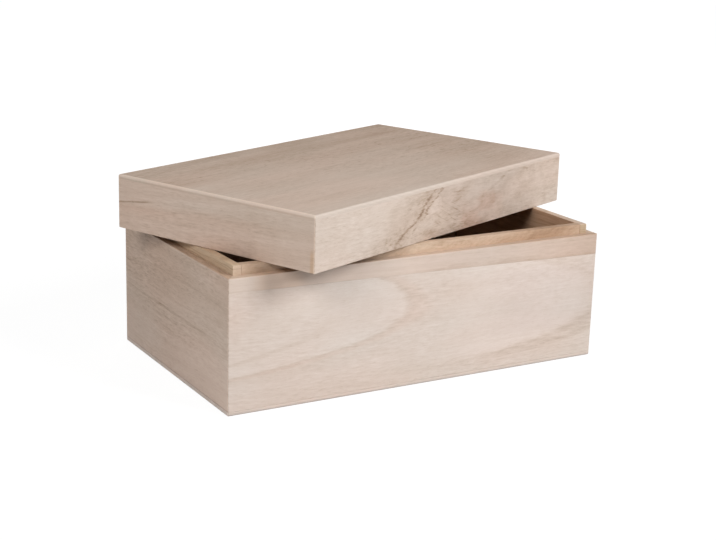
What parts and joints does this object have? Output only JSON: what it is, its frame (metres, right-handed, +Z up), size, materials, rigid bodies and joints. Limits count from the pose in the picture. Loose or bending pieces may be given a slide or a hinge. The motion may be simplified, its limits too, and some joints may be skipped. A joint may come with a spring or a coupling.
{
  "type": "wooden box with lid",
  "caption": "Rectangular bare-wood keepsake box with a raised inner lip and a matching lift-off lid, lying turned across the open box.",
  "frame": {"origin": "centre of the flat underside of the box's bottom panel, on the surface it stands on", "axes": "+X along the long side of the box, the front wall faces -Y, +Z up towards the lid"},
  "size_m": [0.3444, 0.2774, 0.139],
  "materials": {
    "bottom_panel_wood": "bare, finely sanded",
    "front_lower_board_wood": "bare, finely sanded",
    "front_upper_board_wood": "bare, finely sanded",
    "back_wall_wood": "bare, finely sanded",
    "left_end_wall_wood": "bare, finely sanded",
    "right_end_wall_wood": "bare, finely sanded",
    "left_liner_wood": "bare, finely sanded",
    "right_liner_wood": "bare, finely sanded",
    "front_liner_wood": "bare, finely sanded",
    "back_liner_wood": "bare, finely sanded",
    "lid_top_panel_wood": "bare, finely sanded",
    "lid_front_wall_wood": "bare, finely sanded",
    "lid_back_wall_wood": "bare, finely sanded",
    "lid_left_wall_wood": "bare, finely sanded",
    "lid_right_wall_wood": "bare, finely sanded"
  },
  "bodies": {
    "box": {"bottom_panel": "bottom_panel_wood", "front_lower_board": "front_lower_board_wood", "front_upper_board": "front_upper_board_wood", "back_wall": "back_wall_wood", "left_end_wall": "left_end_wall_wood", "right_end_wall": "right_end_wall_wood", "left_liner": "left_liner_wood", "right_liner": "right_liner_wood", "front_liner": "front_liner_wood", "back_liner": "back_liner_wood"},
    "lid": {"lid_top_panel": "lid_top_panel_wood", "lid_front_wall": "lid_front_wall_wood", "lid_back_wall": "lid_back_wall_wood", "lid_left_wall": "lid_left_wall_wood", "lid_right_wall": "lid_right_wall_wood"}
  },
  "joints": [
    {"name": "lid_lift", "type": "slide", "parent": "box", "child": "lid", "axis": [0, 0, 1], "range_m": [0, 0.12]}
  ]
}
